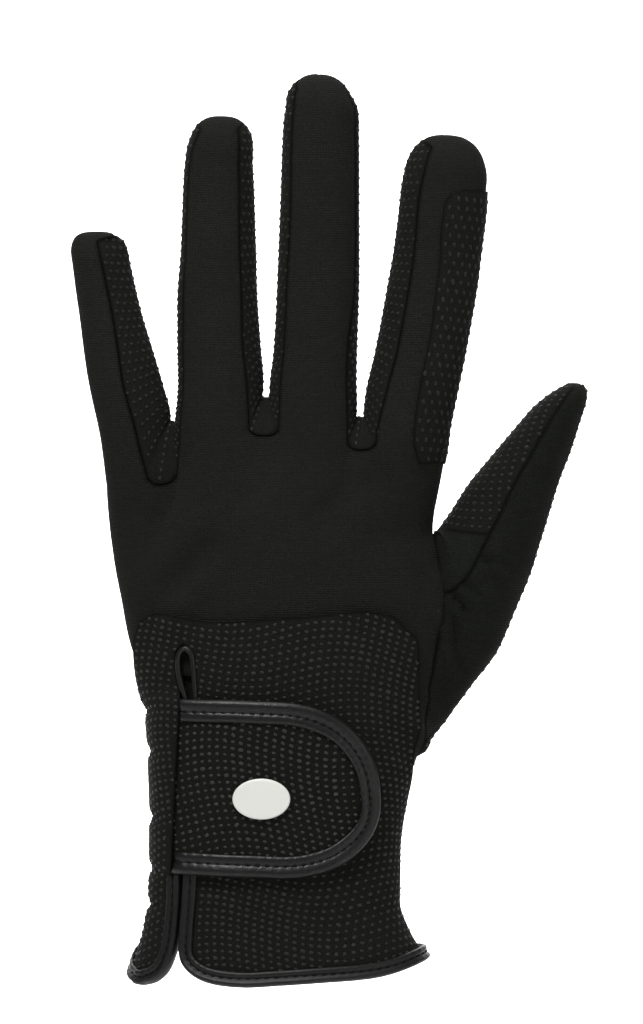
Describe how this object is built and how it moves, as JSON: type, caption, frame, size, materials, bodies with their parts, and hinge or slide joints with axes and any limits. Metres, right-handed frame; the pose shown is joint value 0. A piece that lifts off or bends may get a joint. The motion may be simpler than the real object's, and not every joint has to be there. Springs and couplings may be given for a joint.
{
  "type": "horse riding glove",
  "caption": "Left riding glove with stretch back, dotted grip fabric on palm, finger sides and cuff, keyhole slit, bound closing tab and oval badge.",
  "frame": {"origin": "middle of the cuff opening, at the level of its lower edge", "axes": "+Z from the cuff to the fingertips, the back of the hand faces -Y, the thumb is on the +X side"},
  "size_m": [0.1339, 0.043, 0.2365],
  "materials": {
    "knit": "fine ribbed stretch knit, matt",
    "knit_thumb": "fine ribbed stretch knit, matt",
    "dotted_palm": "synthetic suede with raised grip dots",
    "dotted_sides": "synthetic suede with raised grip dots",
    "dotted_cuff": "synthetic suede with raised grip dots",
    "leatherette": "satin synthetic leather binding",
    "leatherette_cuff": "satin synthetic leather binding",
    "badge_metal": "flat satin silver"
  },
  "bodies": {
    "root": {"back_panel": "knit", "palm_panel": "dotted_palm", "fourchette_little_ring": "dotted_sides", "fourchette_ring_middle": "dotted_sides", "fourchette_middle_index": "dotted_sides", "thumb_back": "knit_thumb", "thumb_palm": "dotted_palm", "thumb_inner": "dotted_sides", "thumb_gusset": "knit_thumb", "index_patch": "dotted_sides", "cuff_yoke": "dotted_cuff", "slit_binding": "leatherette", "cuff_binding": "leatherette_cuff", "strap": "dotted_cuff", "strap_binding": "leatherette", "badge": "badge_metal"}
  },
  "joints": []
}
